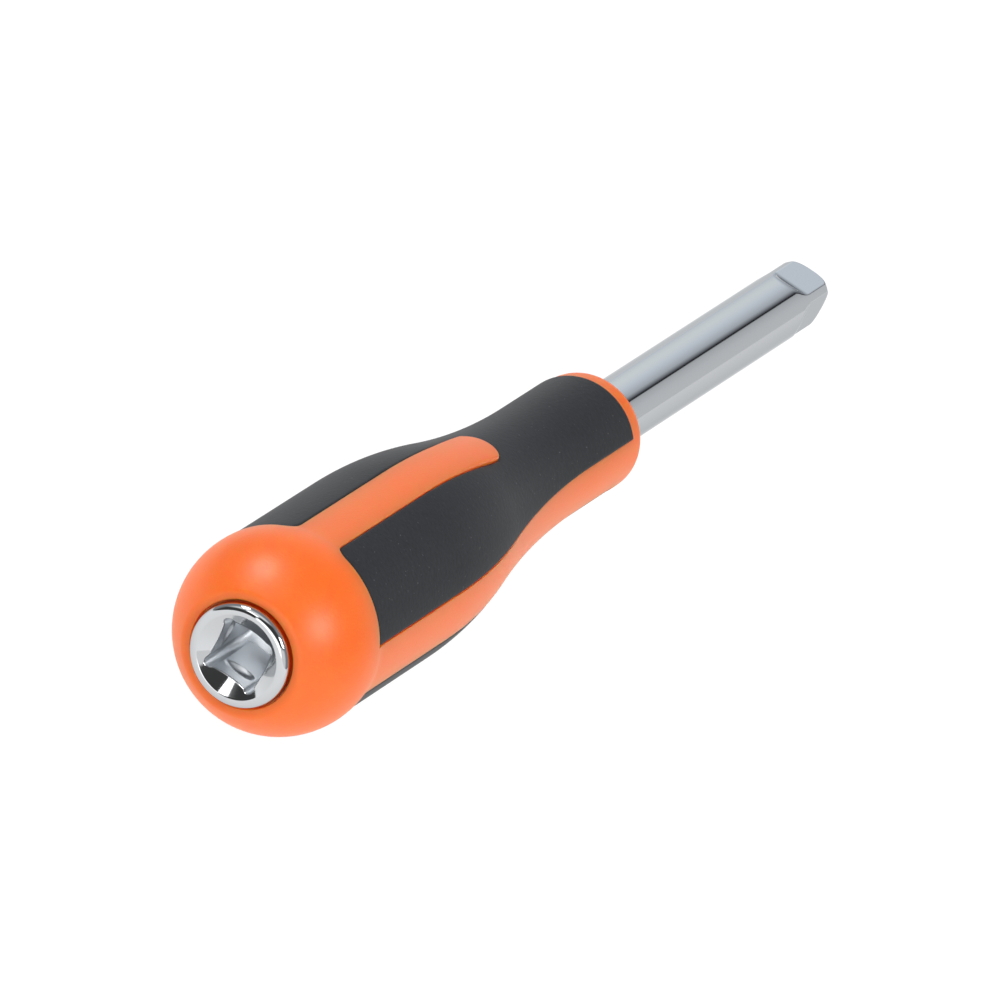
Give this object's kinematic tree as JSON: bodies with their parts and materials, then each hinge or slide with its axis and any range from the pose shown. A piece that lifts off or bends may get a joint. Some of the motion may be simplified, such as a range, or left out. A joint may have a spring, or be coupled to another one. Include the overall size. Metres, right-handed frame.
{
  "type": "spinner handle",
  "caption": "Screwdriver-shaped spinner handle: plated bar with a sprung-ball drive square, two-colour soft-grip handle and a female drive square in its ball-shaped butt.",
  "frame": {"origin": "centre of the rear ring's face, where the female drive square opens", "axes": "+X along the bar from the butt to the drive tip, with the flats of both drive squares square to Y and Z"},
  "size_m": [0.15, 0.024, 0.024],
  "materials": {
    "chrome_bar": "bright chrome plating on turned steel",
    "hard_core": "fine-textured orange polypropylene",
    "soft_grip": "matt black thermoplastic elastomer",
    "detent_steel": "polished bearing steel",
    "spring_steel": "drawn spring wire"
  },
  "bodies": {
    "tool": {"drive_bar": "chrome_bar", "handle_core": "hard_core", "upper_grip": "soft_grip", "lower_grip": "soft_grip", "detent_spring": "spring_steel"},
    "detent": {"detent_ball": "detent_steel"}
  },
  "joints": [
    {"name": "ball_press", "type": "slide", "parent": "tool", "child": "detent", "axis": [0, 1, 0], "range_m": [-0.0005, 0], "stiffness_N_per_m": 1500, "springref_m": 0.0006, "deforming": ["detent_spring"]}
  ]
}
